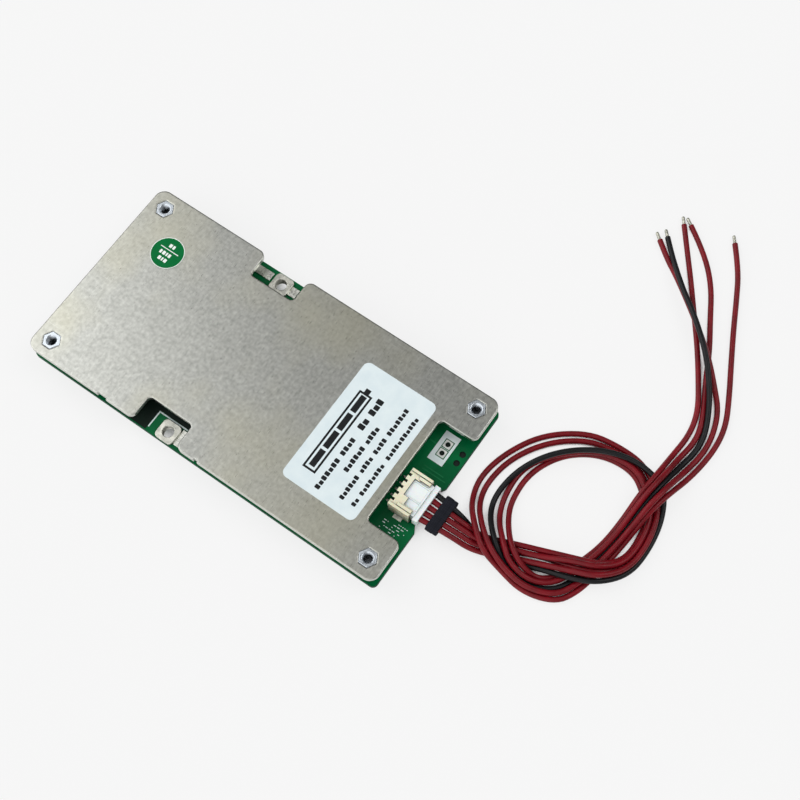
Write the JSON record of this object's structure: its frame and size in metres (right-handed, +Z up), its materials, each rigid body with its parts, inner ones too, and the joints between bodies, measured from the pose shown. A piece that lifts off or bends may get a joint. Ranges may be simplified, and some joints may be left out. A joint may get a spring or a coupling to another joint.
{
  "type": "battery management board",
  "caption": "Battery management board: circuit board under a notched aluminium heat plate on clinched standoffs, with a balance connector and loose sense wires.",
  "frame": {"origin": "middle of the floor under the board, at the level of the screw heads it stands on, measured without the loose wires", "axes": "+X along the long side towards the balance connector, +Y across the board, +Z up through the heat plate"},
  "size_m": [0.1716, 0.1449, 0.01],
  "materials": {
    "aluminium_plate": "brushed",
    "zinc_steel": "zinc plated",
    "board_mask": "green solder mask on glass-epoxy",
    "label_film": "printed film",
    "sticker_film": "printed film",
    "tinned_brass": "tinned",
    "solder": "solder",
    "black_epoxy": "moulded epoxy",
    "gap_silicone": "soft silicone pad",
    "ivory_nylon": "moulded nylon",
    "white_nylon": "moulded nylon",
    "red_insulation": "silicone insulation",
    "black_insulation": "silicone insulation",
    "tape_cloth": "adhesive cloth tape",
    "ceramic_chip": "fired ceramic"
  },
  "bodies": {
    "root": {"balance_header_housing": "ivory_nylon", "balance_plug_housing": "white_nylon", "balance_resistor_1": "black_epoxy", "balance_resistor_2": "black_epoxy", "balance_resistor_3": "black_epoxy", "balance_resistor_4": "black_epoxy", "balance_transistors": "black_epoxy", "board_screw_1": "zinc_steel", "board_screw_2": "zinc_steel", "board_screw_3": "zinc_steel", "board_screw_4": "zinc_steel", "chip_capacitors": "ceramic_chip", "circuit_board": "board_mask", "clinch_standoff_1": "zinc_steel", "clinch_standoff_2": "zinc_steel", "clinch_standoff_3": "zinc_steel", "clinch_standoff_4": "zinc_steel", "controller": "black_epoxy", "controller_leads": "solder", "harness_tape": "tape_cloth", "header_anchors": "solder", "header_pins": "solder", "heatsink_plate": "aluminium_plate", "inspection_sticker": "sticker_film", "mosfet_1": "black_epoxy", "mosfet_2": "black_epoxy", "mosfet_3": "black_epoxy", "mosfet_4": "black_epoxy", "mosfet_5": "black_epoxy", "mosfet_6": "black_epoxy", "mosfet_7": "black_epoxy", "mosfet_8": "black_epoxy", "mosfet_metal": "solder", "product_label": "label_film", "shunt_resistor_1": "black_epoxy", "shunt_resistor_2": "black_epoxy", "solder_run_1": "solder", "solder_run_2": "solder", "solder_run_3": "solder", "terminal_nut_1": "tinned_brass", "terminal_nut_2": "tinned_brass", "thermal_pad": "gap_silicone", "tip_black": "solder", "tip_red_1": "solder", "tip_red_2": "solder", "tip_red_3": "solder", "tip_red_4": "solder", "wire_black": "black_insulation", "wire_red_1": "red_insulation", "wire_red_2": "red_insulation", "wire_red_3": "red_insulation", "wire_red_4": "red_insulation"}
  },
  "joints": []
}
